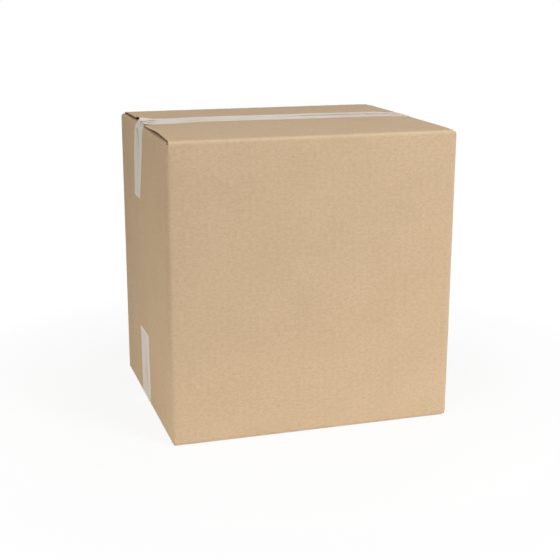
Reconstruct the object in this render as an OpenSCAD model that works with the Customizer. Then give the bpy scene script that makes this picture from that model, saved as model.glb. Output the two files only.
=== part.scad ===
// Closed regular slotted carton in single-wall corrugated board, taped along both centre seams.
// Lengths are in millimetres. +Z is up and -Y is the front. The origin is on the floor,
// under the middle of the carton.

/* [Carton] */
// Outside width, along the centre seams
box_w = 330; // [290:1:450]
// Outside depth, across the centre seams
box_d = 275; // [200:1:288]
// Outside height over the closed flaps, without the tape
box_h = 338; // [220:1:500]
// Thickness of the corrugated board
board_t = 4; // [2:0.1:5]
// Inside radius of the folds between the panels
panel_crease_r = 1; // [0.5:0.1:3]
// Inside radius of the folds at the roots of the flaps
flap_crease_r = 1; // [0.5:0.1:3]

/* [Flaps] */
// Gap between the two outer flaps along the centre seam
seam_gap = 1.5; // [0.5:0.1:6]
// Distance from the end panels' faces in to the cut ends of the outer flaps
outer_flap_inset = 3; // [1:0.1:5]
// Clearance between the cut ends of an inner flap and the panels beside it
inner_flap_clearance = 1.5; // [0.5:0.1:5]
// Depth of the end panels' folds below the outer flaps' faces
end_fold_drop = 1.6; // [0.5:0.1:4]
// Length over which an inner flap slopes down to lie under the outer flaps
inner_flap_ramp = 30; // [15:1:60]
// Depth of the slots' closed ends below the outer flaps' faces
slot_end = 2; // [1:0.1:4]

/* [Lifted corner of the front top flap] */
// Height of the bow at the left cut end of the flap
lift_h = 1.8; // [1:0.1:4]
// Length along the flap over which the bow dies away
lift_l = 65; // [30:1:120]
// Distance from the front panel's face to the start of the bow
lift_start = 7; // [7:1:30]
// Flat board left between the bow and the tape
lift_tape_margin = 24; // [4:1:30]

/* [Glued joint at the back right corner] */
// Width of the lap glued to the inside of the back panel
lap_w = 35; // [20:1:60]
// Slope cut off each end of the lap
lap_bevel = 8; // [2:1:20]
// Distance from the right panel's face in to the cut edge of the back panel
back_edge_inset = 1; // [0.5:0.1:3]

/* [Tape] */
// Width of the packing tape
tape_w = 48; // [36:1:75]
// Thickness of the packing tape
tape_t = 0.1; // [0.05:0.01:0.3]
// Middle of the top tape at its left end, behind the centre seam
top_tape_left_y = 17; // [-5:1:22]
// Middle of the top tape at its right end, behind the centre seam
top_tape_right_y = 6; // [-15:1:20]
// Length of the top tape down the left panel
top_left_tail = 88; // [30:1:100]
// Length of the top tape down the right panel
top_right_tail = 80; // [30:1:100]
// How far the back edge of the top tape drifts back along its left tail
top_tail_drift = 10; // [0:1:15]
// How much narrower the left tail of the top tape is at its cut end
top_tail_taper = 15; // [0:1:30]
// Middle of the bottom tape at its left end, behind the centre seam
bottom_tape_left_y = 10; // [-15:1:22]
// Middle of the bottom tape at its right end, behind the centre seam
bottom_tape_right_y = -4; // [-15:1:20]
// Length of the bottom tape up the left panel
bottom_left_tail = 89; // [30:1:100]
// Length of the bottom tape up the right panel
bottom_right_tail = 82; // [30:1:100]
// How far the left tail of the bottom tape drifts back at its cut end
bottom_tail_drift = 4; // [0:1:15]

/* [Hidden] */
$fn = 96;
kraft = "#c8ad8b";
film = "#dccfc0";

// Outside radii of the folds
panel_fold_r = board_t + panel_crease_r;
flap_fold_r = board_t + flap_crease_r;
// Depth at which the panels' flat faces end and the folds of the inner flaps start
panel_end = end_fold_drop + flap_fold_r;
// Outer and inner flaps are cut to one length
flap_len = (box_d - seam_gap) / 2;
outer_flap_w = box_w - 2 * outer_flap_inset;
// Front cut ends of the inner flaps
inner_flap_front = -box_d / 2 + board_t + inner_flap_clearance;
// Underside of the carton, on the bottom tape
base_z = tape_t;
top_z = base_z + box_h;
// Bow of the front top flap, as an arc over the chord between its two ends
lift_end_y = top_tape_left_y - tape_w / 2 - lift_tape_margin;
lift_start_y = lift_start - box_d / 2;
lift_chord = lift_end_y - lift_start_y;
lift_r = lift_chord * lift_chord / (8 * lift_h) + lift_h / 2;
lift_slope = atan(lift_h / lift_l);
// Depth of the cutting blocks that reach past a face
past = 1;

module carton() {
    color(kraft) {
        translate([0, 0, base_z + panel_end])
            linear_extrude(height = box_h - 2 * panel_end)
                panels();
        translate([0, 0, base_z + slot_end])
            linear_extrude(height = box_h - 2 * slot_end)
                corners();
        glued_lap();
        translate([0, 0, base_z]) {
            outer_flap();
            mirror([0, 1, 0]) outer_flap();
            inner_flaps();
        }
        translate([0, 0, top_z]) mirror([0, 0, 1]) {
            lifted_outer_flap();
            mirror([0, 1, 0]) outer_flap();
            inner_flaps();
        }
    }
}

module top_tape() {
    color(film) translate([0, 0, top_z]) mirror([0, 0, 1])
        tape(top_tape_left_y, top_tape_right_y, top_left_tail, top_right_tail,
             top_tail_drift, top_tail_taper);
}

module bottom_tape() {
    color(film) translate([0, 0, base_z])
        tape(bottom_tape_left_y, bottom_tape_right_y, bottom_left_tail, bottom_right_tail,
             bottom_tail_drift, 0);
}

// Section through the four panels, with the glued joint at the back right corner
module panels() {
    difference() {
        rounded_rectangle(box_w, box_d, panel_fold_r);
        rounded_rectangle(box_w - 2 * board_t, box_d - 2 * board_t, panel_crease_r);
        translate([box_w / 2 - panel_fold_r, box_d / 2 - board_t - panel_fold_r])
            square([panel_fold_r + past, board_t + panel_fold_r + past]);
    }
    // Cut edge of the back panel, over the fold of the lap
    translate([box_w / 2 - panel_fold_r, box_d / 2 - board_t])
        square([panel_fold_r - back_edge_inset, board_t]);
    translate([box_w / 2, box_d / 2 - board_t]) mirror([1, 1])
        fold_arc(panel_fold_r);
}

// The four upright folds, which reach on past the panels to the ends of the slots
module corners() {
    across = inner_flap_front + box_d / 2;
    intersection() {
        panels();
        for (x = [0, 1], y = [0, 1])
            mirror([x, 0]) mirror([0, y])
                translate([-box_w / 2, -box_d / 2]) square([outer_flap_inset, across]);
    }
}

module rounded_rectangle(w, d, r) {
    square([w - 2 * r, d], center = true);
    square([w, d - 2 * r], center = true);
    for (x = [-1, 1], y = [-1, 1])
        translate([x * (w / 2 - r), y * (d / 2 - r)]) circle(r);
}

// Quarter of a fold in the board, whose outside faces lie on the two axes
module fold_arc(r) {
    translate([r, r]) intersection() {
        difference() {
            circle(r);
            circle(r - board_t);
        }
        translate([-r, -r]) square(r);
    }
}

// Lap of the right panel, face to face with the back panel
module glued_lap() {
    root = panel_fold_r;
    low = base_z + panel_end;
    high = top_z - panel_end;
    translate([box_w / 2, box_d / 2 - board_t, 0]) rotate([90, 0, 0])
        linear_extrude(height = board_t)
            polygon([[-root, low], [-root, high], [-lap_w, high - lap_bevel], [-lap_w, low + lap_bevel]]);
}

// Section of an outer flap, its fold and the end of its panel, with its outside faces on the axes
module outer_flap_section() {
    fold_arc(flap_fold_r);
    translate([flap_fold_r, 0]) square([flap_len - flap_fold_r, board_t]);
    translate([0, flap_fold_r]) square([board_t, end_fold_drop]);
}

// Section of an inner flap. The ends of the outer flaps are crushed where they rest on its
// fold, and it slopes down from there until it lies one board below them.
module inner_flap_section() {
    foot = flap_fold_r + inner_flap_ramp;
    translate([0, end_fold_drop]) fold_arc(flap_fold_r);
    polygon([
        [flap_fold_r, end_fold_drop], [foot, board_t], [flap_len, board_t],
        [flap_len, 2 * board_t], [foot, 2 * board_t], [flap_fold_r, end_fold_drop + board_t]
    ]);
}

// Front outer flap, with its outside face on z = 0 and the carton above it
module outer_flap() {
    translate([-outer_flap_w / 2, -box_d / 2, 0]) rotate([90, 0, 90])
        linear_extrude(height = outer_flap_w)
            outer_flap_section();
}

// The same flap bowed outwards at its left cut end. The bow is a shallow arc whose crown
// line slopes back into the flat of the flap, so the board stays one thickness throughout.
module lifted_outer_flap() {
    difference() {
        union() {
            outer_flap();
            bow(0, -lift_h - past, lift_h + past);
        }
        bow(board_t, board_t - lift_h - past, lift_h + past);
    }
}

// Part of the bow's arc that lies between two levels, with its crown line at depth down
module bow(depth, low, height) {
    left = -outer_flap_w / 2;
    intersection() {
        translate([left, lift_start_y, low]) cube([lift_l + past, lift_chord, height]);
        translate([left, lift_start_y + lift_chord / 2, depth - lift_h]) rotate([0, -lift_slope, 0])
            translate([-lift_l, 0, lift_r]) rotate([0, 90, 0])
                cylinder(r = lift_r, h = 3 * lift_l, $fn = 720);
    }
}

// Left and right inner flaps. The right one clears the glued lap as well.
module inner_flaps() {
    inner_flap(inner_flap_front, -inner_flap_front);
    mirror([1, 0, 0]) inner_flap(inner_flap_front, -inner_flap_front - board_t);
}

module inner_flap(from, to) {
    translate([-box_w / 2, to, 0]) rotate([90, 0, 0])
        linear_extrude(height = to - from)
            inner_flap_section();
}

// Tape over one centre seam and down both end panels. The flaps' outside face is z = 0.
module tape(left_y, right_y, left_tail, right_tail, drift, taper) {
    skew = atan((left_y - right_y) / box_w);
    half = tape_w / 2 / cos(skew);
    intersection() {
        tape_sleeve(max(left_tail, right_tail));
        union() {
            tape_run(left_y, right_y, half);
            tape_tail(left_y, half, left_tail, drift, taper);
            mirror([1, 0, 0]) tape_tail(right_y, half, right_tail, 0, 0);
        }
    }
}

// Film of full depth that follows the panels, the folds, the cut ends and the flaps
module tape_sleeve(tail) {
    translate([0, box_d / 2, 0]) rotate([90, 0, 0]) linear_extrude(height = box_d)
        difference() {
            tape_path(tape_t, tail + past);
            tape_path(0, tail + 2 * past);
        }
}

// Outline that the film follows, grown by a thickness. From the fold of each inner flap
// it runs straight to the cut end of the outer flaps, and over their corner.
module tape_path(grow, tail) {
    fold = [-box_w / 2 + flap_fold_r, panel_end];
    corner = [-outer_flap_w / 2, 0];
    reach = [corner.x - fold.x, fold.y - corner.y];
    lean = atan2(reach.y, -reach.x) - acos(flap_fold_r / norm(reach));
    out = [-cos(lean), -sin(lean)];
    left = [
        [fold.x - flap_fold_r - grow, tail],
        [fold.x - flap_fold_r - grow, fold.y],
        fold + (flap_fold_r + grow) * out,
        corner + grow * out,
        corner + [0, -grow]
    ];
    right = [for (i = [len(left) - 1 : -1 : 0]) [-left[i].x, left[i].y]];
    polygon(concat(left, right));
    for (side = [-1, 1]) {
        translate([side * -fold.x, fold.y]) circle(flap_fold_r + grow);
        if (grow > 0)
            translate([side * -corner.x, corner.y]) circle(grow);
    }
}

// Skewed strip over the flaps and the folds at their ends
module tape_run(left_y, right_y, half) {
    end = box_w / 2;
    far = end + past;
    translate([0, 0, -past]) linear_extrude(height = panel_end + past)
        polygon([
            [-far, left_y - half], [-end, left_y - half], [end, right_y - half], [far, right_y - half],
            [far, right_y + half], [end, right_y + half], [-end, left_y + half], [-far, left_y + half]
        ]);
}

// Strip down the left panel, from the end of the slots to the cut end of the tape
module tape_tail(mid_y, half, tail, drift, taper) {
    translate([-box_w / 2 - past, 0, 0]) rotate([90, 0, 90]) linear_extrude(height = box_w / 4)
        polygon([
            [mid_y - half, panel_end], [mid_y + half, panel_end],
            [mid_y + half + drift, tail], [mid_y - half + drift + taper, tail]
        ]);
}

carton();
top_tape();
bottom_tape();
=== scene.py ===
"""Closed corrugated carton with taped centre seams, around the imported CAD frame.

Lengths are in millimetres up to the last step of each mesh, which turns them into metres.
The frame has +Z up, the front towards -Y, and its origin on the floor under the carton's middle.
"""
from collections import namedtuple
import math

import bpy
import numpy as np
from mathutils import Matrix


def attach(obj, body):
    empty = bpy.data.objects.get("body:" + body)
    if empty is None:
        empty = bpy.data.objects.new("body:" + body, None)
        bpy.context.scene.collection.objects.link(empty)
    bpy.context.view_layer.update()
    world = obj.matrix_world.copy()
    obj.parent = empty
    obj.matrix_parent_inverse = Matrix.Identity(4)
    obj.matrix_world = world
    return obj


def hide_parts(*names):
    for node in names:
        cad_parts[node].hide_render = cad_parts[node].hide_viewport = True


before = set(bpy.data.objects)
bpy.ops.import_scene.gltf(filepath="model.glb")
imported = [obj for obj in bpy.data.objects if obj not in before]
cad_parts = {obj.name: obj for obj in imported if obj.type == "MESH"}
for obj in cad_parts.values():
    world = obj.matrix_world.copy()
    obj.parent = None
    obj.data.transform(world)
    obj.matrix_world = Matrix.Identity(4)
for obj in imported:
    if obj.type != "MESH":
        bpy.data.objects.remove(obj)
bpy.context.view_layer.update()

# The carton, as in its CAD source
W, D, H = 330.0, 275.0, 338.0
BOARD = 4.0
LINER = 0.35                    # thickness of the paper on each face of the board
FOLD_R = 5.0
FLOOR_GAP = 0.1                 # the bottom tape lies between the board and the floor
TOP = FLOOR_GAP + H
END_DROP = 1.6                  # the end panels' folds lie this far below the outer flaps
PANEL_END = END_DROP + FOLD_R
RAMP = 30.0
SEAM = 1.5                      # gap between the two outer flaps
FLAP_LEN = (D - SEAM) / 2
FLAP_X = 162.0                  # the outer flaps' cut ends
LAP_W, LAP_BEVEL = 35.0, 8.0
EDGE_INSET = 1.0
TAPE_W = 48.0
FILM, FLOOR_FILM = 0.1, 0.08
LIFT = 0.04                     # adhesive between board and film
FLUTE = 7.95
# How far up the fold, along the board, the slots at the corners end, and the deeper one at the front left
SLOT_ROW, OPEN_SLOT_ROW = 4.6, 2.6
# How deep the open flutes show at a cut end, at the back flap's left end and at the glued edge
FLUTE_DEPTH, BACK_FLUTE_DEPTH, EDGE_FLUTE_DEPTH = 1.9, 0.9, 3.5
# Along the board, from the end of a panel's flat face to the end of the fold of an outer and an inner flap
OUTER_ARC = END_DROP + FOLD_R * math.pi / 2
INNER_ARC = FOLD_R * math.pi / 2
# A flap's rows are counted in from the panel's face, and lie this much further out on the flat sheet
FOLD_STRETCH = 4.45

# Camera at the photograph's viewpoint
camera = bpy.data.objects.new("camera", bpy.data.cameras.new("camera"))
camera.data.sensor_width = 36
camera.data.lens = 72.69
camera.location = (-0.3957, -1.2753, 0.5020)
camera.rotation_euler = [math.radians(a) for a in (74.951, -0.117, -17.249)]
camera.data.clip_start = 0.05
camera.data.clip_end = 50
bpy.context.collection.objects.link(camera)
bpy.context.scene.camera = camera


def smooth(x, low, high):
    """0 up to low, 1 from high on, and an even turn between them."""
    p = np.clip((np.asarray(x, float) - low) / (high - low), 0, 1)
    return p * p * (3 - 2 * p)


def bump(x, middle, width):
    return np.exp(-((np.asarray(x, float) - middle) / width) ** 2)


def waves(x, y, size, seed, count=9):
    """Even, repeatable unevenness of about +-1 whose humps are about size apart."""
    rng = np.random.default_rng(seed)
    total = 0
    for _ in range(count):
        turn, phase = rng.uniform(0, 2 * math.pi, 2)
        k = 2 * math.pi / size * rng.uniform(0.55, 1.5)
        total = total + np.cos(k * (x * math.cos(turn) + y * math.sin(turn)) + phase)
    return total / math.sqrt(count)


# Warps of the board

def front_lift(x, y):
    """Bow of the front top flap at its left cut end, with a dip between it and the seam."""
    run, crest, reach = y + D / 2, 54, 72
    along = np.clip(1 - (x + FLAP_X) / reach, 0, 1.05) ** 2
    bow = 2.0 * np.exp(-((run - crest) / np.where(run < crest, 31, 40)) ** 2)
    dip = 0.5 * smooth(run, 85, 125)
    return (bow - dip) * along


def back_lift(x, y):
    """Free corner of the back top flap, lifted under the tape."""
    run, reach, corner_reach = np.clip(y, 0, None), 52, 24
    along = np.clip(1 - (x + FLAP_X) / reach, 0, 1.05) ** 2
    near = np.clip(1 - (x + FLAP_X) / corner_reach, 0, 1) ** 1.5
    # A small piece is bent up where the tape ends
    corner = 2.4 * smooth(run, 32, 35.5) * (1 - smooth(run, 50, 60)) * near
    end = 0.9 * smooth(D / 2 - run, 4, 24) + 1.2 * smooth(run, -8, 18) * (1 - smooth(run, 40, 115))
    return corner + end * along


def flap_rise(x, y, back, top):
    """Height of an outer flap's outside face over its flat place."""
    wide = smooth(W / 2 - np.abs(x), 0, 25)
    deep = smooth(D / 2 - np.abs(y), 4, 25)
    if not top:
        # Drawn in a little, so that the box stands on its folds
        return -0.15 * np.clip(1 + waves(x, y, 90, 7 + back), 0, None) * wide * deep
    run = D / 2 - np.abs(y)
    # Crowned between its ends, with a soft ridge at the seam, and pressed down at its right end
    arch = 0.3 + 2.1 * smooth(W / 2 - np.abs(x), 0, np.where(x > 0, 50, 80))
    crown = arch * (1 - (1 - np.clip(run / FLAP_LEN, 0, 1)) ** 1.6)
    tip = 0.25 * bump(y, 0, 10) * wide
    rise = crown + 0.18 * waves(x, y, 85, 3 + back) * deep * (0.4 + 0.6 * wide) + tip
    pressed = 0.6 * smooth(np.abs(x), 150, 163) * (1 - smooth(run, 6, 24)) * (x > 0)
    rise = rise - pressed
    return rise + (back_lift(x, y) if back else front_lift(x, y))


def panel_bulge(name, s, z):
    """How far a panel's outside face stands out, s being the distance along it from its middle."""
    if name == "lap":
        return 0.0
    half = (W if name in ("front", "back") else D) / 2
    to_edge, to_end = half - np.abs(s), np.minimum(z, TOP - z)
    edge, level = smooth(to_edge, 4, 26), smooth(to_end, 7, 30)
    seed = ("front", "back", "left", "right").index(name)
    out = 0.24 * waves(s, z, 120, 20 + seed) * edge * level
    out = out + 0.07 * waves(s, z, 40, 30 + seed) * smooth(to_edge, 3, 12) * level
    # The board stands out in a bead beside its level folds
    bead = smooth(to_end, 6, 10) * (1 - smooth(to_end, 12, 22))
    out = out + 0.16 * bead * smooth(to_edge, 6, 14)
    if name == "front":
        out = out + (0.5 * edge - 0.2 * bump(to_edge, 12, 5)) * level
        # A faint upright crease to the right of the middle
        crease = W / 2 - 0.295 * W + 1.5 * np.sin(z / 60)
        out = out + (0.22 * bump(s, crease, 2.2) - 0.16 * bump(s, crease - 6, 5)) * level
    if name == "left":
        # A dent runs up it, a little way in from its front edge
        run = half + s
        out = out + (0.6 * bump(run, 12, 8) - 1.6 * bump(run, 39, 12) + 0.3 * bump(run, 62, 12)) * level
        out = out + 0.4 * bump(run, 190, 60) * level
    if name in ("right", "back"):
        out = out + (0.7 * edge - 0.2 * bump(to_edge, 14, 6)) * level
    return out


# The folded blank

def spread(low, high, step, fine=(2.0, 5.0)):
    """Places from low to high, close together beside both ends."""
    inner_low, inner_high = low + sum(fine), high - sum(fine)
    count = max(1, round((inner_high - inner_low) / step))
    middle = np.linspace(inner_low, inner_high, count + 1)
    return [low, low + fine[0], *middle, high - fine[0], high]


# Degrees round an upright fold. The first and the fifth are where the outer flaps end.
TURNS = (23.6, 34, 45, 56, 67, 79)
# A place outside the box and the way that the board faces there, the panel and the flap that it belongs to,
# the distance along the panel from its middle, and the distance along the flat sheet
Column = namedtuple("Column", "x y nx ny panel flap s u")


class Columns:
    """The blank's columns, along the outside of the four panels."""

    def __init__(self):
        self.made = []
        self.u = 0.0

    def add(self, x, y, nx, ny, panel, flap, s, step):
        self.u += step
        self.made.append(Column(x, y, nx, ny, panel, flap, s, self.u))

    def straight(self, start, end, normal, panel, places, flap):
        (x0, y0), (x1, y1) = start, end
        length = math.hypot(x1 - x0, y1 - y0)
        along = ((x1 - x0) / length, (y1 - y0) / length)
        for i, p in enumerate(places):
            x, y = x0 + along[0] * p, y0 + along[1] * p
            step = p - places[i - 1] if i else 0
            s = x if panel in ("front", "back", "lap") else y
            self.add(x, y, *normal, panel, flap(x, y), s, step)

    def corner(self, centre, start, flaps=("",) * 6):
        """A quarter turn, clockwise from above. flaps says which of its columns carry a flap's end."""
        for i, a in enumerate(TURNS):
            angle = math.radians(start - a)
            nx, ny = math.cos(angle), math.sin(angle)
            x, y = centre[0] + FOLD_R * nx, centre[1] + FOLD_R * ny
            before = TURNS[i - 1] if i else 0
            self.add(x, y, nx, ny, "", flaps[i], x, math.radians(a - before) * FOLD_R)
        self.u += math.radians(90 - TURNS[-1]) * FOLD_R


# Middles of the upright folds, and the lap's face under the back panel
OX, OY = W / 2 - FOLD_R, D / 2 - FOLD_R
LAP_Y = D / 2 - BOARD
columns = Columns()
columns.straight((W / 2 - LAP_W, LAP_Y), (OX, LAP_Y), (0, 1), "lap",
                 [0, LAP_BEVEL, 15, 22, 28, LAP_W - FOLD_R], lambda x, y: "")
columns.corner((OX, LAP_Y - FOLD_R), 90)
right_len = LAP_Y - FOLD_R + OY
columns.straight((W / 2, LAP_Y - FOLD_R), (W / 2, -OY), (1, 0), "right",
                 [0, 0.5] + spread(2.5, right_len - 2.5, 5.6) + [right_len - 0.5, right_len],
                 lambda x, y: "right" if -OY + 0.4 < y < LAP_Y - FOLD_R - 0.4 else "")
columns.corner((OX, -OY), 0, ["", "", "", "", "front", ""])
wide_places = [0, 5] + spread(9, 2 * OX - 9, 5.6) + [2 * OX - 5, 2 * OX]
columns.straight((OX, -D / 2), (-OX, -D / 2), (0, -1), "front", wide_places, lambda x, y: "front")
columns.corner((-OX, -OY), -90, ["front"] + [""] * 5)
deep_places = [0, 0.5] + spread(2.5, 2 * OY - 2.5, 5.2) + [2 * OY - 0.5, 2 * OY]
columns.straight((-W / 2, -OY), (-W / 2, OY), (-1, 0), "left", deep_places,
                 lambda x, y: "left" if abs(y) < OY - 0.4 else "")
columns.corner((-OX, OY), 180, ["", "", "", "", "back", ""])
columns.straight((-OX, D / 2), (W / 2 - EDGE_INSET, D / 2), (0, 1), "back",
                 wide_places + [2 * OX + 2, 2 * OX + 4], lambda x, y: "back" if x < W / 2 - 2.5 else "")

cx, cy, cnx, cny, cs, cu = (np.array([getattr(c, key) for c in columns.made], float)
                            for key in ("x", "y", "nx", "ny", "s", "u"))
panel_of = [c.panel for c in columns.made]
flap_of = [c.flap for c in columns.made]
NC = len(columns.made)
# How far the creased upright folds lie inside an even round
slant = np.abs(np.abs(cnx) - np.abs(cny))
facet = 0.4 * (1 - slant ** 2) * np.array([not p for p in panel_of])
# The right panel's first column, and how far past the slant of the lap's ends each column lies
lap_end = next(i for i, n in enumerate(panel_of) if n == "right")
lap_share = np.clip((cx - (W / 2 - LAP_W)) / LAP_BEVEL, 0, 1)

# Rows as (kind, side, value): a height on the panels, the distance along the board from the panel's flat face
# on a fold, and the run in from the panel's face on a flap. side is 1 at the top and -1 at the bottom.
fold_rows = [0.8, 1.6, 2.6, 3.6, 4.6, 5.6, 6.6, 7.85, 8.6, OUTER_ARC]
flap_rows = [8, 12, 17, 23, 29, *np.linspace(35, FLAP_LEN - 4, 19), FLAP_LEN - 1.5, FLAP_LEN]
heights = spread(FLOOR_GAP + PANEL_END, TOP - PANEL_END, 5.6, (2.4, 4.4))
rows = ([("flap", -1, d) for d in reversed(flap_rows)] + [("fold", -1, e) for e in reversed(fold_rows)]
        + [("panel", 0, z) for z in heights]
        + [("fold", 1, e) for e in fold_rows] + [("flap", 1, d) for d in flap_rows])
NR = len(rows)
INWARD = {"front": (0, 1), "back": (0, -1), "left": (1, 0), "right": (-1, 0)}
LEVELS = (0.0, LINER, BOARD - LINER, BOARD)         # depths of the two liners' faces in the board
FIRST_FOLD_ROW = fold_rows[0]


def inner_depth(run):
    """Depth of an inner flap's outside face below the outer flaps, run mm in from the end panel."""
    run = np.asarray(run, float)
    arc = PANEL_END - np.sqrt(np.clip(FOLD_R ** 2 - (FOLD_R - np.clip(run, 0, FOLD_R)) ** 2, 0, None))
    ramp = END_DROP + (run - FOLD_R) / RAMP * (BOARD - END_DROP)
    return np.where(run < FOLD_R, arc, np.minimum(ramp, BOARD))


def profile(flap, kind, value, h):
    """Run in from the panel's face and depth below the outside face, h mm into the board."""
    inner = flap in ("left", "right")
    drop = END_DROP if inner else 0.0
    if kind == "fold":
        e = value if inner else value - END_DROP
        if e <= 0:
            return h, PANEL_END - value
        if e <= INNER_ARC + 1e-6:
            turn = e / FOLD_R
            return (FOLD_R - (FOLD_R - h) * math.cos(turn),
                    drop + FOLD_R - (FOLD_R - h) * math.sin(turn))
        run = FOLD_R + e - INNER_ARC
    else:
        run = value
    return run, (float(inner_depth(run)) if inner else 0.0) + h


def squeeze(h, room):
    """Depth in a board that is pressed to the given thickness: the liners stay, the flutes give."""
    return room - (BOARD - h) if h >= BOARD - LINER else h


def place_on_panel(c, z, h):
    """Place of a point at height z on a panel or an upright fold, h mm into the board."""
    x, y, nx, ny = cx[c], cy[c], cnx[c], cny[c]
    panel = panel_of[c]
    away = min(z - FLOOR_GAP, TOP - z) - PANEL_END
    if flap_of[c] in ("front", "back") and not panel:
        # The upright fold turns flat where an outer flap hangs on it
        flat = 1 - smooth(away, 0, 12)
        y += (math.copysign(D / 2, y) - y) * flat
        nx, ny = nx * (1 - flat), ny * (1 - flat) + math.copysign(flat, y)
    if panel:
        out = float(panel_bulge(panel, cs[c], z))
    else:
        out = (0.10 * float(waves(cu[c], z, 22, 50)) - 0.08) * float(smooth(away, 0, 6)) - facet[c]
    x, y = x + nx * out, y + ny * out
    if panel == "lap":
        # The lap's two ends are cut at a slant
        slope = LAP_BEVEL * (1 - lap_share[c])
        share = (H - 2 * PANEL_END - 2 * slope) / (H - 2 * PANEL_END)
        z = FLOOR_GAP + PANEL_END + slope + (z - FLOOR_GAP - PANEL_END) * share
    return x - nx * h, y - ny * h, z


def place_on_corner_end(c, value, h):
    """Place of a point where the end of an upright fold leans in between the flaps, and its depth."""
    turn = max(0.0, value - FIRST_FOLD_ROW) / FOLD_R
    lean = FOLD_R - (FOLD_R - h) * math.cos(turn) if turn else h
    depth = PANEL_END - min(value, FIRST_FOLD_ROW) - (FOLD_R - 0.3 * h) * math.sin(turn)
    return cx[c] - cnx[c] * (lean + facet[c]), cy[c] - cny[c] * (lean + facet[c]), depth


def place_on_flap(c, kind, side, value, h):
    """Place of a point on a flap or its fold, and its depth."""
    x, y, flap = cx[c], cy[c], flap_of[c]
    run, depth = profile(flap, kind, value, h)
    ix, iy = INWARD[flap]
    if flap in ("front", "back"):
        y = -iy * D / 2 + iy * run
        rise = float(flap_rise(x, y, flap == "back", side > 0))
        turn_in = float(smooth(run, 2, 7))
        if run >= FOLD_R:
            # Pressed thinner where it lies on the end panel's fold
            over = W / 2 - abs(x)
            room = min(BOARD, float(inner_depth(over)) + rise - 0.05)
            room = BOARD + (room - BOARD) * float(smooth(run, 5, 11))
            depth = squeeze(h, room)
        fray = 0.12 * float(waves(x, 0, 17, 60 + side)) * (1 - abs(turn_in - 0.5) * 2)
        return x, y, depth - rise * turn_in + (fray if side > 0 else abs(fray))
    x = -ix * W / 2 + ix * run
    fray = 0.14 * float(waves(y, 0, 15, 64 + side)) * (1 - abs(float(smooth(run, 0, 5)) - 0.5) * 2)
    if side > 0 and flap == "left":
        # The fold sags towards both corners and stands up under the back flap's lifted corner
        sag = 0.9 * smooth(-y, 0, 30) + 0.5 * smooth(y, 60, 80)
        sag = sag - 1.1 * smooth(y, 38, 44) * (1 - smooth(y, 46, 62))
        depth += float(sag * smooth(PANEL_END - depth, 0, 4))
    return x, y, depth + fray


def place(c, row, level):
    """Place of one point of the blank, folded and warped."""
    kind, side, value = row
    h = LEVELS[level]
    if kind == "panel":
        return place_on_panel(c, value, h)
    if flap_of[c]:
        x, y, depth = place_on_flap(c, kind, side, value, h)
    else:
        x, y, depth = place_on_corner_end(c, value, h)
    return x, y, (TOP - depth if side > 0 else FLOOR_GAP + depth)


def filled(c, r):
    """Whether the blank has board between columns c and c + 1, rows r and r + 1."""
    pair = [rows[r], rows[r + 1]]
    if all(kind == "panel" for kind, _, _ in pair):
        return True
    if "lap" in (panel_of[c], panel_of[c + 1]):
        return False
    far = max(value for kind, _, value in pair if kind != "panel")
    front_left = cx[c] < -OX and cy[c] < -OY and cy[c + 1] < -OY - 1
    upper = pair[0][1] + pair[1][1] > 0
    slot = OPEN_SLOT_ROW if front_left and upper else SLOT_ROW
    if all(kind != "flap" for kind, _, _ in pair) and far <= slot + 1e-6:
        return c >= lap_end
    return bool(flap_of[c]) and flap_of[c] == flap_of[c + 1]


class Mesh:
    """Points in millimetres, faces, and the two point values that the materials read.

    blank is a place on the flat sheet in metres. tone is (wear with a painted fold highlight, cut,
    painted shade in the open flute) on the board and (clear, white, painted crease shade) on the film.
    """

    def __init__(self):
        self.points, self.faces, self.blank, self.tone = [], [], [], []

    def point(self, at, blank, tone):
        self.points.append(at)
        self.blank.append(blank)
        self.tone.append(tone)
        return len(self.points) - 1

    def build(self, name, material, angle=32):
        mesh = bpy.data.meshes.new(name)
        mesh.from_pydata([tuple(0.001 * v for v in p) for p in self.points], [], self.faces)
        for key, values in (("blank", self.blank), ("tone", self.tone)):
            data = mesh.attributes.new(key, "FLOAT_VECTOR", "POINT")
            data.data.foreach_set("vector", np.array(values, np.float32).ravel())
        mesh.materials.append(material)
        mesh.validate()
        mesh.shade_smooth()
        mesh.set_sharp_from_angle(angle=math.radians(angle))
        piece = bpy.data.objects.new(name, mesh)
        bpy.context.collection.objects.link(piece)
        return piece


def fold_wear_and_highlight(c, row):
    """1 on the folds, where the liner is stretched and rubbed lighter; the band along the middle of each turn
    is also a painted highlight.
    """
    kind, _, value = row
    upright = 0.0 if panel_of[c] else 0.25
    if kind == "fold":
        return max(upright, float(bump(value / OUTER_ARC, 0.55, 0.14)))
    return upright if kind == "panel" or not panel_of[c] else 0.0


def blank_height(row):
    """Place of a row along the height of the flat sheet."""
    kind, side, value = row
    if kind == "panel":
        return value
    if kind == "flap":
        value = value + FOLD_STRETCH
    return TOP - PANEL_END + value if side > 0 else PANEL_END - value


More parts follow.
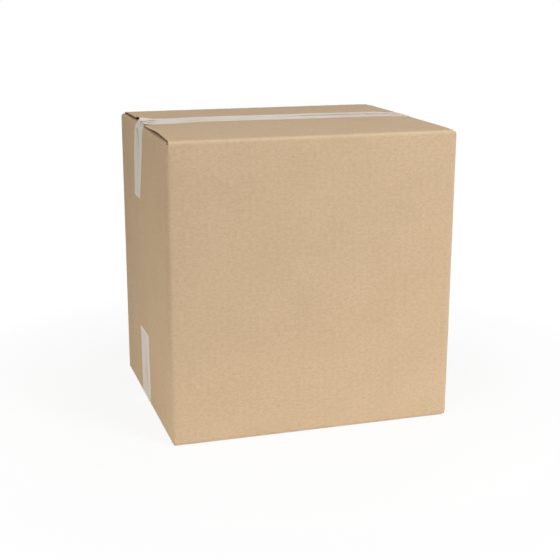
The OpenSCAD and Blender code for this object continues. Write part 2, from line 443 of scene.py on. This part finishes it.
def carton_board(material):
    mesh = Mesh()
    cells = np.array([[filled(c, r) for r in range(NR - 1)] for c in range(NC - 1)])
    index = {}

    def vertex(c, r, level):
        key = (c, r, level)
        if key not in index:
            blank = (0.001 * cu[c], 0.001 * blank_height(rows[r]), 0.001 * LEVELS[level])
            index[key] = mesh.point(place(c, rows[r], level), blank, (fold_wear_and_highlight(c, rows[r]), 0.0, 0.0))
        return index[key]

    def wall(a, b, flip):
        """Cut edge between two grid points, with the flutes' edges at LINER below each face."""
        for low in range(3):
            q = [vertex(*a, low), vertex(*b, low), vertex(*b, low + 1), vertex(*a, low + 1)]
            mesh.faces.append(q if flip else q[::-1])

    def channel(c, inner, r0, r1, flip):
        """Open flute along the cut edge at column c, from row r0 to r1, as deep as column inner, darkened
        inside as painted shade.
        """
        def quad(*q):
            mesh.faces.append(list(q) if flip else list(q)[::-1])

        # Painted shade inside the open flute, weaker at the back flap's left end, where the flute is shallow
        painted_shade = 0.35 if flap_of[c] == "back" and cx[c] < 0 else 1.0
        deep = {}
        for r in range(r0, r1 + 1):
            for level in (1, 2):
                blank = (0.001 * cu[inner], 0.001 * r, 0.001 * LEVELS[level])
                deep[r, level] = mesh.point(place(inner, rows[r], level), blank, (0.0, 1.0, painted_shade))
        for r in range(r0, r1):
            quad(vertex(c, r, 0), vertex(c, r + 1, 0), vertex(c, r + 1, 1), vertex(c, r, 1))
            quad(vertex(c, r, 2), vertex(c, r + 1, 2), vertex(c, r + 1, 3), vertex(c, r, 3))
            quad(vertex(c, r, 1), vertex(c, r + 1, 1), deep[r + 1, 1], deep[r, 1])
            quad(deep[r, 1], deep[r + 1, 1], deep[r + 1, 2], deep[r, 2])
            quad(deep[r, 2], deep[r + 1, 2], vertex(c, r + 1, 2), vertex(c, r, 2))
        quad(vertex(c, r0, 1), deep[r0, 1], deep[r0, 2], vertex(c, r0, 2))
        quad(vertex(c, r1, 2), deep[r1, 2], deep[r1, 1], vertex(c, r1, 1))

    for c in range(NC - 1):
        for r in range(NR - 1):
            if cells[c, r]:
                for level, ring in ((0, ((c, r), (c, r + 1), (c + 1, r + 1), (c + 1, r))),
                                    (3, ((c, r), (c + 1, r), (c + 1, r + 1), (c, r + 1)))):
                    mesh.faces.append([vertex(*at, level) for at in ring])

    def full(c, r):
        return 0 <= c < NC - 1 and 0 <= r < NR - 1 and cells[c, r]

    def channelled(c, left_full):
        """Column that the open flute along this cut edge reaches, or None."""
        if c == NC - 1:
            depth = EDGE_FLUTE_DEPTH
        elif flap_of[c] in ("front", "back"):
            depth = BACK_FLUTE_DEPTH if flap_of[c] == "back" and cx[c] < 0 else FLUTE_DEPTH
        else:
            return None
        inner = c
        while abs(cx[inner] - cx[c]) < depth:
            inner += -1 if left_full else 1
        return inner

    # Cut edges up the blank, with open flutes where a run of them is long enough
    panel_rows = [r for r in range(NR) if rows[r][0] == "panel"]
    for c in range(NC):
        runs = []
        for r in range(NR - 1):
            left_full, right_full = full(c - 1, r), full(c, r)
            if left_full != right_full:
                if runs and runs[-1][1] == r and runs[-1][2] == left_full:
                    runs[-1][1] = r + 1
                else:
                    runs.append([r, r + 1, left_full])
        for r0, r1, flip in runs:
            inner = channelled(c, flip)
            if inner is None or r1 - r0 < 6:
                first = last = r1
            else:
                first, last = r0 + 1, r1 - 1
                if not flap_of[c]:
                    first, last = max(first, panel_rows[0] + 1), min(last, panel_rows[-1] - 1)
            for r in (*range(r0, first), *range(last, r1)):
                wall((c, r), (c, r + 1), flip)
            if first < last:
                channel(c, inner, first, last, flip)
    # Cut edges along the blank
    for r in range(NR):
        for c in range(NC - 1):
            below, above = full(c, r - 1), full(c, r)
            if below != above:
                wall((c, r), (c + 1, r), above)
    return mesh.build("carton_board", material)


# Materials

def node(tree, kind, values=None, **settings):
    """A new shader node, its settings made first and its inputs then linked or set."""
    made = tree.nodes.new("ShaderNode" + kind)
    for key, value in settings.items():
        setattr(made, key, value)
    for key, value in (values or {}).items():
        socket = made.inputs[key]
        if isinstance(value, bpy.types.NodeSocket):
            tree.links.new(value, socket)
        else:
            socket.default_value = value
    return made


def colour(code):
    """Linear colour from its sRGB code."""
    parts = [int(code[i:i + 2], 16) / 255 for i in (1, 3, 5)]
    return (*[p / 12.92 if p <= 0.04045 else ((p + 0.055) / 1.055) ** 2.4 for p in parts], 1.0)


def new_material(name):
    material = bpy.data.materials.new(name)
    material.use_nodes = True
    tree = material.node_tree
    tree.nodes.clear()
    return material, tree


def mixed(tree, factor, a, b):
    """Colour between a and b. 6 and 7 are the node's two colours, and 2 is its result as a colour."""
    made = node(tree, "Mix", {0: factor, 6: a, 7: b}, data_type="RGBA", clamp_factor=True)
    return made.outputs[2]


def ranged(tree, value, low, high, to_low=0.0, to_high=1.0):
    made = node(tree, "MapRange", {0: value, 1: low, 2: high, 3: to_low, 4: to_high}, clamp=True)
    return made.outputs[0]


def noise(tree, vector, scale, detail=2.0, stretch=(1, 1, 1)):
    mapped = node(tree, "Mapping", {"Vector": vector, "Scale": stretch})
    made = node(tree, "TexNoise", {"Vector": mapped.outputs[0], "Scale": scale, "Detail": detail})
    return made.outputs[0]


def maths(tree, how, a, b=0.0):
    return node(tree, "Math", {0: a, 1: b}, operation=how).outputs[0]


def point_values(tree):
    """The mesh's place on the flat sheet, and the three parts of its tone."""
    blank = node(tree, "Attribute", attribute_name="blank").outputs["Vector"]
    tone = node(tree, "Attribute", attribute_name="tone").outputs["Vector"]
    return blank, node(tree, "SeparateXYZ", {0: tone}).outputs


def kraft_material():
    material, tree = new_material("kraft_liner")
    blank, (wear_and_highlight, cut, flute_painted_shade) = point_values(tree)
    flat = node(tree, "SeparateXYZ", {0: blank})

    # Mottled paper, from its clouds down to its specks
    cloud = noise(tree, blank, 20, 1)
    patch = noise(tree, blank, 140, 2)
    fibre = noise(tree, blank, 400, 3, (0.62, 1, 1))
    grit = noise(tree, blank, 900, 4, (0.85, 1, 1))
    base = mixed(tree, ranged(tree, cloud, 0.3, 0.7), colour("#c8ae8d"), colour("#ccb291"))
    base = mixed(tree, ranged(tree, patch, 0.35, 0.7, 0, 0.42), base, colour("#d3ba9c"))
    base = mixed(tree, ranged(tree, fibre, 0.3, 0.58, 0.35, 1.0), colour("#bfa385"), base)
    base = mixed(tree, ranged(tree, grit, 0.5, 0.7, 0, 0.15), base, colour("#967b5b"))
    base = mixed(tree, ranged(tree, grit, 0.5, 0.3, 0, 0.16), base, colour("#e6cfb0"))
    # Faint bands over the flutes
    flute = maths(tree, "SINE", maths(tree, "MULTIPLY", flat.outputs[0], 2 * math.pi / (0.001 * FLUTE)))
    base = mixed(tree, ranged(tree, flute, -1, 1, 0, 0.02), base, colour("#8b6f50"))
    # Rubbed folds, lighter partly as a painted highlight, cut edges, and open flutes darkened as painted shade
    rub_and_highlight = maths(tree, "MULTIPLY", wear_and_highlight, ranged(tree, noise(tree, blank, 160, 3), 0.3, 0.65, 0.6, 1))
    # Painted highlight: part of the paler colour along the folds stands in for the light that they catch
    base = mixed(tree, maths(tree, "MULTIPLY", rub_and_highlight, 0.34), base, colour("#ead3b6"))
    base = mixed(tree, maths(tree, "MULTIPLY", cut, 0.7), base, colour("#a08259"))
    # Painted shade: the inside of the open flutes takes the dark colour of their shadow
    base = mixed(tree, maths(tree, "MULTIPLY", flute_painted_shade, 0.85), base, colour("#765c35"))

    relief = maths(tree, "ADD", maths(tree, "MULTIPLY", flute, 0.10),
                   maths(tree, "ADD", maths(tree, "MULTIPLY", fibre, 0.5), maths(tree, "MULTIPLY", grit, 0.25)))
    relief = node(tree, "Bump", {"Strength": 0.55, "Distance": 0.00022, "Height": relief}).outputs[0]
    rough = ranged(tree, fibre, 0.3, 0.7, 0.72, 0.86)
    shader = node(tree, "BsdfPrincipled", {"Base Color": base, "Roughness": rough, "Normal": relief})
    shader.inputs["Specular IOR Level"].default_value = 0.12
    node(tree, "OutputMaterial", {"Surface": shader.outputs[0]})
    return material


def film_material():
    material, tree = new_material("packing_film")
    blank, (clear, white, crease) = point_values(tree)
    streak = noise(tree, blank, 260, 3, (0.06, 1, 1))
    cloud = noise(tree, blank, 45, 3)
    base = mixed(tree, ranged(tree, streak, 0.35, 0.65), colour("#f5eadd"), colour("#fcf5ec"))
    base = mixed(tree, ranged(tree, cloud, 0.35, 0.7, 0, 0.3), base, colour("#ecdfd2"))
    base = mixed(tree, maths(tree, "MULTIPLY", white, 0.6), base, colour("#ffffff"))
    # Painted shade along the film's creases and over the seam
    base = mixed(tree, crease, base, colour("#86736a"))
    relief = maths(tree, "ADD", maths(tree, "MULTIPLY", streak, 0.6), maths(tree, "MULTIPLY", cloud, 0.4))
    relief = node(tree, "Bump", {"Strength": 0.35, "Distance": 0.0002, "Height": relief}).outputs[0]
    shader = node(tree, "BsdfPrincipled", {"Base Color": base, "Normal": relief,
                                           "Roughness": ranged(tree, streak, 0.3, 0.7, 0.5, 0.64),
                                           "Alpha": ranged(tree, clear, 0, 1, 0.62, 0.15)})
    shader.inputs["Specular IOR Level"].default_value = 0.62
    node(tree, "OutputMaterial", {"Surface": shader.outputs[0]})
    return material


# The tapes

ACROSS = 66                     # faces across the film
ARC_LINES = (12, 24, 36, 48)    # places round the end panel's fold, the last where the film leaves it
BRIDGE_LINES = (0.35, 0.7)      # shares of the way from there to the outer flaps' cut ends


def end_face(side, y, z):
    """X of an end panel's outside face, side being -1 at the left and 1 at the right."""
    return side * (W / 2 + panel_bulge("right" if side > 0 else "left", y, z))


class Tape:
    """A strip over one centre seam, up one end panel, over the flaps and down the other.

    left_y and right_y are its middle's places on the end panels, and left_tail and right_tail how far from
    the flaps it ends there. Along the left panel it goes back by drift and gets narrower by taper. Only the
    top tape is drawn in where it meets the flaps' cut ends.
    """

    def __init__(self, top, left_y, right_y, left_tail, right_tail, drift, taper, seed):
        self.top, self.left_y, self.right_y = top, left_y, right_y
        self.left_tail, self.right_tail = left_tail, right_tail
        self.drift, self.taper, self.seed = drift, taper, seed
        self.half = TAPE_W / 2 * math.sqrt(1 + ((left_y - right_y) / W) ** 2)

    def flat_edges(self, x):
        """Y of the front and the back edge over the flaps."""
        mid = self.left_y + (self.right_y - self.left_y) * (x + W / 2) / W
        run = x + FLAP_X
        front = 7 * math.exp(-run / 10) + 9 * math.exp((x - FLAP_X) / 28)
        back = 10 * self.top * math.exp(-run / 6)
        return mid - self.half + front * self.top, mid + self.half - back

    def end_edges(self, side, down):
        """Y of the front and the back edge on an end panel, down mm below its fold."""
        if side > 0:
            return self.right_y - self.half + 9 * self.top * math.exp(-down / 12), self.right_y + self.half
        p = np.clip(down / self.left_tail, 0, 1)
        front = self.left_y - self.half + (self.drift + self.taper) * p
        back = self.left_y + self.half + self.drift * p
        pull = self.top * math.exp(-down / 9)
        return front - 1.5 * pull, back - 3 * pull

    def lines(self):
        """Lines across the film in order, as (side, part, value).

        value is a depth below the flaps on a panel, one of ARC_LINES or BRIDGE_LINES, or x over the flaps.
        """
        by_fold, step = [PANEL_END, 7.8, 9, 10.5, 12, 14], 2.4
        left = [self.left_tail - d for d in np.arange(0, self.left_tail - by_fold[-1], step)] + by_fold[::-1]
        right = by_fold + list(np.arange(by_fold[-1] + step, self.right_tail, step)) + [self.right_tail]
        by_end = [149, 152, 155, 157.5, 159.5, 161, FLAP_X]
        flat = [-x for x in by_end[::-1]] + list(np.linspace(-146, 146, 105)) + by_end
        up = [("arc", a) for a in ARC_LINES] + [("bridge", b) for b in BRIDGE_LINES]
        return ([(-1, "panel", d) for d in left] + [(-1, *at) for at in up] + [(0, "flat", x) for x in flat]
                + [(1, *at) for at in up[::-1]] + [(1, "panel", d) for d in right])

    def flap_level(self, x, y):
        """Height of the film's underside over the flaps' flat face."""
        lip = SEAM / 2
        back = flap_rise(x, np.maximum(y, lip), True, self.top)
        front = flap_rise(x, np.minimum(y, -lip), False, self.top)
        step = (flap_rise(x, np.full_like(y, lip), True, self.top)
                - flap_rise(x, np.full_like(y, -lip), False, self.top))
        level = np.where(y > 0, back, front + np.clip(step, 0, None) * np.exp(-np.abs(y) / 5))
        return level - 0.3 * bump(y, 0, 1.3)

    def build(self, name, material):
        mesh = Mesh()
        t = np.linspace(0, 1, ACROSS + 1)
        grid, along, painted_shade = [], [], []
        travelled, previous = 0.0, None
        for side, part, value in self.lines():
            x, y, z, n = self.line(side, part, value, t)
            middle = np.array([x[ACROSS // 2], y[ACROSS // 2], z[ACROSS // 2]])
            if previous is not None:
                travelled += float(np.linalg.norm(middle - previous))
            previous = middle
            grid.append((x, y, z, n))
            along.append(travelled)
            painted_shade.append(np.clip(self.crease(side, part, value, t, x), 0, 1))
        # Fine teeth of the cutter at both ends
        teeth = 0.55 * (np.arange(ACROSS + 1) % 2)
        for end in (0, -1):
            x, y, z, n = grid[end]
            grid[end] = (x, y, z + (teeth if self.top else -teeth), n)

        verts = np.zeros((len(grid), ACROSS + 1, 2), int)
        for i, (x, y, z, n) in enumerate(grid):
            for j in range(ACROSS + 1):
                blank = (0.001 * (along[i] + 900 * self.seed), 0.001 * TAPE_W * t[j], 0.0)
                end = max(0.0, 1 - min(along[i], along[-1] - along[i]) / 3)
                edge = max(0.0, 1 - min(t[j], 1 - t[j]) * TAPE_W / 1.2)
                clear = (0.3 * float(smooth(x[j], -10, 110)) + self.wet_line(x[j], t[j])) * self.top
                tone = (clear, max(end, edge), float(painted_shade[i][j]))
                for k, off in enumerate((LIFT, LIFT + (FILM if self.top else FLOOR_FILM))):
                    at = (x[j] + n[0][j] * off, y[j], z[j] + n[1][j] * off)
                    verts[i, j, k] = mesh.point(at, blank, tone)

        def quad(*corners):
            corners = [int(v) for v in corners]
            mesh.faces.append(corners if self.top else corners[::-1])

        for i in range(len(grid) - 1):
            for j in range(ACROSS):
                quad(verts[i, j, 1], verts[i + 1, j, 1], verts[i + 1, j + 1, 1], verts[i, j + 1, 1])
                quad(verts[i, j, 0], verts[i, j + 1, 0], verts[i + 1, j + 1, 0], verts[i + 1, j, 0])
            quad(verts[i, 0, 0], verts[i + 1, 0, 0], verts[i + 1, 0, 1], verts[i, 0, 1])
            quad(verts[i, -1, 1], verts[i + 1, -1, 1], verts[i + 1, -1, 0], verts[i, -1, 0])
        for j in range(ACROSS):
            quad(verts[0, j, 0], verts[0, j, 1], verts[0, j + 1, 1], verts[0, j + 1, 0])
            quad(verts[-1, j, 1], verts[-1, j, 0], verts[-1, j + 1, 0], verts[-1, j + 1, 1])
        return mesh.build(name, material, 60)

    def line(self, side, part, value, t):
        """Points across the film at one place of its run, and their normals in X and Z."""
        if part == "panel":
            front, back = self.end_edges(side, value - PANEL_END)
        elif part == "flat":
            front, back = self.flat_edges(value)
        else:
            # The film fans out from the flaps' corner to its full width on the panel
            share = 0.1 * value / ARC_LINES[-1] if part == "arc" else 0.1 + 0.9 * value
            low, high = self.end_edges(side, 0), self.flat_edges(side * FLAP_X)
            front = low[0] + (high[0] - low[0]) * share
            back = low[1] + (high[1] - low[1]) * share
        y = front + (back - front) * t
        if part == "panel":
            z = np.full_like(t, TOP - value if self.top else FLOOR_GAP + value)
            x = end_face(side, y, z) + side * self.wrinkle(t, value, side)
            return x, y, z, (np.full_like(t, side), np.zeros_like(t))
        up = 1 if self.top else -1
        if part == "flat":
            x = np.full_like(t, float(value))
            z = np.full_like(t, FLOOR_GAP + LIFT)
            if self.top:
                z = TOP + self.flap_level(x, y) + self.flat_wrinkle(value, t)
            return x, y, z, (np.zeros_like(t), np.full_like(t, up))

        # From the panel's end round the inner flap's fold, then straight to the outer flap's corner
        level = np.full_like(y, -LIFT)
        if self.top:
            level = self.flap_level(np.full_like(y, side * FLAP_X), y) + self.flat_wrinkle(side * FLAP_X, t)
        reach_x, reach_z = FLAP_X - OX, PANEL_END + level
        lean = np.arctan2(reach_z, reach_x) - np.arccos(np.clip(FOLD_R / np.hypot(reach_x, reach_z), -1, 1))
        lean = np.clip(lean, 1.05 if self.top else 0.02, 1.5)
        if part == "arc":
            lean = lean * value / ARC_LINES[-1]
        nx, nz = np.cos(lean), np.sin(lean)
        ax, az = FOLD_R * nx, FOLD_R * nz
        slack = self.wrinkle(t, PANEL_END, side)
        if part == "bridge":
            ax, az = ax + (reach_x - ax) * value, az + (reach_z - az) * value
            slack = slack * (1 - value)
        depth = PANEL_END - az
        z = TOP - depth if self.top else FLOOR_GAP + depth
        return side * (OX + ax + nx * slack), y, z, (side * nx, up * nz)

    def tail_folds(self, down):
        """Where across the left tail its two long folds lie."""
        if self.top:
            return 0.36 + 0.003 * down, 0.62 - 0.002 * down
        return 0.3 + 0.0015 * down, 0.62 - 0.001 * down

    def wrinkle(self, t, down, side):
        """Gathers in the film where it turns over the end of the flaps, dying away along the panel."""
        run = max(0.0, down - PANEL_END)
        if side > 0:
            return 0.04 * math.exp(-run / 16) * (1 + waves(t * TAPE_W, 0, 14, self.seed + 80))
        ridges = bump(t, 0.22, 0.025) + 0.8 * bump(t, 0.45, 0.03) + 0.7 * bump(t, 0.7, 0.03)
        first, second = self.tail_folds(down)
        if not self.top:
            long_folds = 0.7 * bump(t, first, 0.025) + 0.45 * bump(t, second, 0.02)
            return 0.2 * math.exp(-run / 14) * ridges + long_folds * math.exp(-((down - 38) / 30) ** 2)
        long_folds = bump(t, first, 0.03) + 0.7 * bump(t, second, 0.025)
        slack = 0.5 * math.exp(-((down - 34) / 26) ** 2) * long_folds
        return 0.35 * math.exp(-run / 18) * ridges + self.pleat(t) * math.exp(-run / 7) + slack

    def pleat(self, t):
        """Folds of the gathered film at the end of the flaps."""
        return 1.4 * bump(t, 0.68, 0.07) + 0.8 * bump(t, 0.25, 0.06) + 0.5 * bump(t, 0.9, 0.04)

    def flat_wrinkle(self, x, t):
        """Pleats that spread over the flaps from where the film is gathered, and a long fold further on."""
        run = x + FLAP_X
        back_fold = 1.5 * bump(t, 0.64 + 0.012 * run, 0.07) * math.exp(-(run / 17) ** 3)
        front_fold = 0.7 * bump(t, 0.25 + 0.002 * run, 0.06) * math.exp(-(run / 15) ** 3)
        ends = self.pleat(t) * math.exp(-(run / 6) ** 2)
        far = 0.03 * (1 + waves(np.full_like(t, x) * 0.12, t * TAPE_W, 16, 90))
        far = far + 0.45 * bump(t, 0.53, 0.04) * float(smooth(x, 10, 60)) * float(smooth(W / 2 - x, 0, 12))
        return np.maximum(back_fold + front_fold, ends) + far

    def wet_line(self, x, t):
        """Streak where the film clings to the board and is clearer than beside it."""
        return 0.8 * float(bump(t, 0.5, 0.06) * smooth(x, -20, 60) * smooth(FLAP_X + 1 - x, 0, 14))

    def crease(self, side, part, value, t, x):
        """Painted shade where the film is creased, or lies over the open seam: it stands in for the creases'
        shadows and the dark gap showing through.
        """
        if part == "flat" and self.top:
            run = x + FLAP_X
            first = bump(t, 0.42 + 0.015 * run, 0.07) * (1 - smooth(run, 13, 24))
            second = 0.7 * bump(t, 0.1 + 0.014 * run, 0.05) * smooth(run, 3, 7) * (1 - smooth(run, 13, 20))
            # Painted shade of the seam's gap, seen through the film as a long line
            long_line = 0.5 * bump(t, 0.5, 0.04) * smooth(x, -20, 50) * smooth(FLAP_X + 1 - x, 0, 14)
            return first + second + long_line + 0.2 * bump(run, 0, 2.5)
        if side < 0 and part == "panel":
            run = value - PANEL_END
            fold, second_fold = (bump(t, at, 0.035) for at in self.tail_folds(value))
            if not self.top:
                return (0.4 * fold + 0.2 * second_fold) * bump(value, 42, 26)
            slanted = 0.4 * bump(t, 0.62 - 0.013 * run, 0.06) * (1 - smooth(run, 12, 22))
            middle = 0.04 * smooth(t, 0.12, 0.3) * (1 - smooth(t, 0.72, 0.86)) * (1 - smooth(run, 62, 80))
            return slanted + middle + 0.18 * fold * bump(value, 36, 24)
        if side < 0 and self.top:
            return 0.45 * bump(t, 0.45, 0.05) + 0.25 * bump(t, 0.12, 0.05)
        return np.zeros_like(t)


kraft, film = kraft_material(), film_material()
board = carton_board(kraft)
top_film = Tape(True, 17, 6, 88, 80, 10, 15, 1).build("top_tape_film", film)
bottom_film = Tape(False, 10, -4, 89, 82, 4, 0, 2).build("bottom_tape_film", film)
for piece, old, slot in ((board, "carton", "kraft_board"),
                         (top_film, "top_tape", "packing_tape"),
                         (bottom_film, "bottom_tape", "packing_tape")):
    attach(piece, "root")
    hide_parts(old)


# Floor, light and background

def seen_rays(tree):
    """1 for rays that are seen, straight, in a gloss or through the film, and 0 for those that only light."""
    rays = node(tree, "LightPath").outputs
    seen = maths(tree, "MAXIMUM", rays["Is Camera Ray"], rays["Is Glossy Ray"])
    return maths(tree, "MAXIMUM", seen, rays["Is Transmission Ray"])


def floor_material():
    """Takes a soft shadow near the box and is plain white away from it."""
    material, tree = new_material("floor_white")
    position = node(tree, "NewGeometry").outputs["Position"]
    away = node(tree, "VectorMath", {0: position}, operation="LENGTH").outputs["Value"]
    near = ranged(tree, away, 0.36, 0.62, 0.93, 0.2)
    plain = node(tree, "BsdfDiffuse", {"Color": mixed(tree, near, (0, 0, 0, 1), (1, 1, 1, 1))})
    white = node(tree, "Emission", {"Color": (1, 1, 1, 1), "Strength": 1.0})
    share = maths(tree, "MULTIPLY", ranged(tree, away, 0.26, 0.5, 0.87, 1.0), seen_rays(tree))
    both = node(tree, "MixShader", {0: share, 1: plain.outputs[0], 2: white.outputs[0]})
    node(tree, "OutputMaterial", {"Surface": both.outputs[0]})
    return material


def white_floor(radius=1.2, steps=64):
    turns = [2 * math.pi * i / steps for i in range(steps)]
    ring = [(radius * math.cos(a), radius * math.sin(a), 0.0) for a in turns]
    mesh = bpy.data.meshes.new("floor")
    mesh.from_pydata(ring, [], [list(range(steps))])
    mesh.materials.append(floor_material())
    made = bpy.data.objects.new("floor", mesh)
    bpy.context.collection.objects.link(made)
    return made


def white_world():
    """Dim as a light, and white where it is seen."""
    world = bpy.data.worlds.new("world")
    world.use_nodes = True
    tree = world.node_tree
    tree.nodes.clear()
    shade = node(tree, "Background", {"Color": (1, 1, 1, 1), "Strength": 0.13})
    clear = node(tree, "Background", {"Color": (1, 1, 1, 1), "Strength": 1.0})
    both = node(tree, "MixShader", {0: seen_rays(tree), 1: shade.outputs[0], 2: clear.outputs[0]})
    node(tree, "OutputWorld", {"Surface": both.outputs[0]})
    return world


def lamp(name, at, aim, size, power, tint=(1, 1, 1)):
    """A round lamp that lights the box and isn't seen itself."""
    light = bpy.data.lights.new(name, "AREA")
    light.shape = "DISK"
    light.size = size
    light.energy = power
    light.color = tint
    made = bpy.data.objects.new(name, light)
    made.location = at
    direction = np.array(aim, float) - np.array(at, float)
    flat = math.hypot(direction[0], direction[1])
    made.rotation_euler = (math.atan2(flat, -direction[2]), 0, math.atan2(-direction[0], direction[1]))
    made.visible_camera = False
    bpy.context.collection.objects.link(made)


floor = white_floor()
lamp("key", (1.1, -1.9, 1.3), (0, 0, 0.17), 1.1, 26)
lamp("front", (0.75, -1.15, 0.6), (0.1, 0, 0.17), 0.6, 6.6)
lamp("high", (-0.55, -0.75, 1.7), (-0.1, 0, 0.3), 0.9, 8)
lamp("high_left", (-1.0, 0.1, 1.4), (-0.1, 0, 0.2), 0.8, 2.8)
lamp("low_left", (-0.75, -0.2, 0.04), (-0.1, 0, 0.0), 0.5, 2.2, (1, 0.975, 0.88))
lamp("back", (1.0, 1.5, 1.5), (0, 0, 0.17), 1.2, 8)
bpy.context.scene.world = white_world()
bpy.context.scene.view_settings.view_transform = "Standard"
